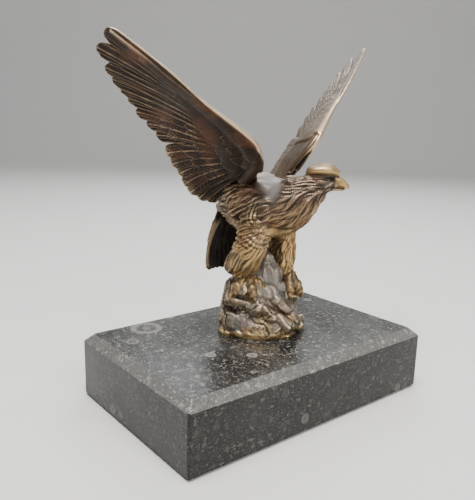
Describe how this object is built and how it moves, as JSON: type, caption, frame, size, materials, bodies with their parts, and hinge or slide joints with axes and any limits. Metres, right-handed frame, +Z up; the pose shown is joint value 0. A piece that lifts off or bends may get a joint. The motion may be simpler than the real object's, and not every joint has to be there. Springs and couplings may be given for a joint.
{
  "type": "statuette",
  "caption": "Cast bronze eagle with raised wings perched on a rock, mounted on a bevelled black fossil stone plinth; free-standing desk or shelf ornament",
  "frame": {"origin": "centre of the plinth's underside, on the surface it stands on", "axes": "+Z up, +X along the plinth's long side, +Y along its short side; the bird faces -Y"},
  "size_m": [0.195, 0.115, 0.2141],
  "materials": {
    "bronze": "dark brown patinated cast bronze with rubbed golden ridges",
    "stone": "polished black fossil limestone with grey and beige shells",
    "felt": "black pressed felt",
    "steel": "zinc plated steel"
  },
  "bodies": {
    "root": {"stone_plinth": "stone", "felt_sheet": "felt", "rock_casting": "bronze", "bird_casting": "bronze", "right_wing_casting": "bronze", "left_wing_casting": "bronze", "tail_casting": "bronze", "fixing_stud": "steel", "fixing_washer": "steel", "fixing_nut": "steel", "right_foot_stud": "steel", "left_foot_stud": "steel", "foot_washers": "steel", "foot_nuts": "steel", "left_wing_pin": "steel", "right_wing_pin": "steel", "tail_pin": "steel"}
  },
  "joints": []
}
